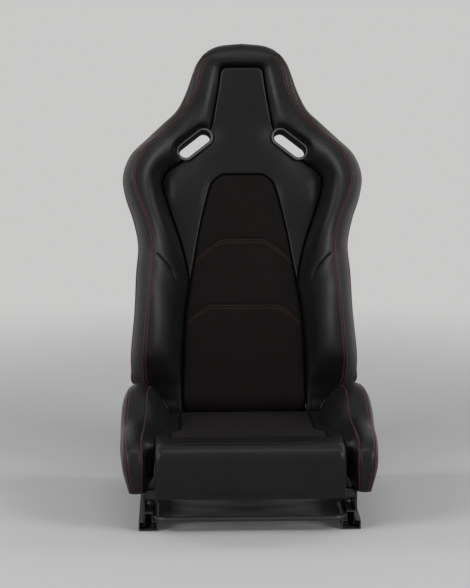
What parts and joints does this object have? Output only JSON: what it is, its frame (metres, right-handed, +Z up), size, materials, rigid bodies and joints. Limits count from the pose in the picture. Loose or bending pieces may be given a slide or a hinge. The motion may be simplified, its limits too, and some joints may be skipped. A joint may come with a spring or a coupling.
{
  "type": "racing seat",
  "caption": "Reclining bucket-style sports seat with winged backrest, integral headrest, harness slots, recliner and sliding rails.",
  "frame": {"origin": "centre of the floor bolt pattern, at the underside of the rails", "axes": "+X towards the viewer's right seen from the front, -Y towards the front of the seat, +Z up"},
  "size_m": [0.551, 0.6715, 0.9977],
  "materials": {
    "rail_steel": "satin black e-coat",
    "nylon": "natural nylon",
    "black_steel": "black powder coat",
    "zinc": "zinc plated",
    "disc_steel": "phosphated",
    "spring_steel": "oiled spring steel",
    "smooth_leatherette": "smooth black leatherette, soft sheen",
    "matte_insert": "matte black insert cloth",
    "black_plastic": "fine grained black",
    "bezel_plastic": "satin dark grey rim",
    "composite_shell": "gloss black composite"
  },
  "bodies": {
    "floor_rails": {"lower_rail_left": "rail_steel", "lower_rail_right": "rail_steel"},
    "seat_base": {"upper_rail_left": "rail_steel", "upper_rail_right": "rail_steel", "rail_glides_left": "nylon", "rail_glides_right": "nylon", "latch_pins": "zinc", "side_plate_left": "black_steel", "side_plate_right": "black_steel", "front_cross_tube": "black_steel", "rear_cross_tube": "black_steel", "seat_springs": "spring_steel", "spring_clips": "nylon", "rail_bolts": "zinc", "seat_cushion": "smooth_leatherette", "seat_insert": "matte_insert", "base_bolster_left": "smooth_leatherette", "base_bolster_right": "smooth_leatherette", "side_cover_left": "black_plastic", "side_cover_right": "black_plastic", "cover_screws": "zinc", "recliner_base_left": "zinc", "recliner_base_right": "zinc"},
    "release_bar": {"release_bar": "black_steel", "latch_springs": "spring_steel"},
    "recline_drive": {"recline_shaft": "zinc", "recline_knob_left": "black_plastic", "recline_knob_right": "black_plastic"},
    "backrest": {"recliner_disc_left": "disc_steel", "recliner_disc_right": "disc_steel", "recliner_arm_left": "black_steel", "recliner_arm_right": "black_steel", "arm_bolts": "zinc", "back_shell": "composite_shell", "wing_left": "smooth_leatherette", "wing_right": "smooth_leatherette", "headrest_roll": "smooth_leatherette", "yoke_panel": "smooth_leatherette", "back_insert_upper": "matte_insert", "back_insert_middle": "matte_insert", "back_insert_lower": "matte_insert", "harness_bezel_left": "bezel_plastic", "harness_bezel_right": "bezel_plastic", "harness_ring_left": "black_plastic", "harness_ring_right": "black_plastic"}
  },
  "joints": [
    {"name": "rail_slide", "type": "slide", "parent": "floor_rails", "child": "seat_base", "axis": [0, -1, 0], "range_m": [-0.09, 0.09]},
    {"name": "release_lift", "type": "hinge", "parent": "seat_base", "child": "release_bar", "pos_m": [0, -0.06, 0.031], "axis": [-1, 0, 0], "range_deg": [0, 10], "stiffness_Nm_per_rad": 1.5, "springref_deg": -17.19},
    {"name": "back_recline", "type": "hinge", "parent": "seat_base", "child": "backrest", "pos_m": [0, 0.205, 0.159], "axis": [-1, 0, 0], "range_deg": [-10, 45]},
    {"name": "knob_turn", "type": "hinge", "parent": "seat_base", "child": "recline_drive", "pos_m": [0, 0.205, 0.159], "axis": [-1, 0, 0], "range_deg": [-345, 1535]}
  ],
  "couplings": [
    {"joint": "knob_turn", "follows": "back_recline", "ratio": 34}
  ]
}
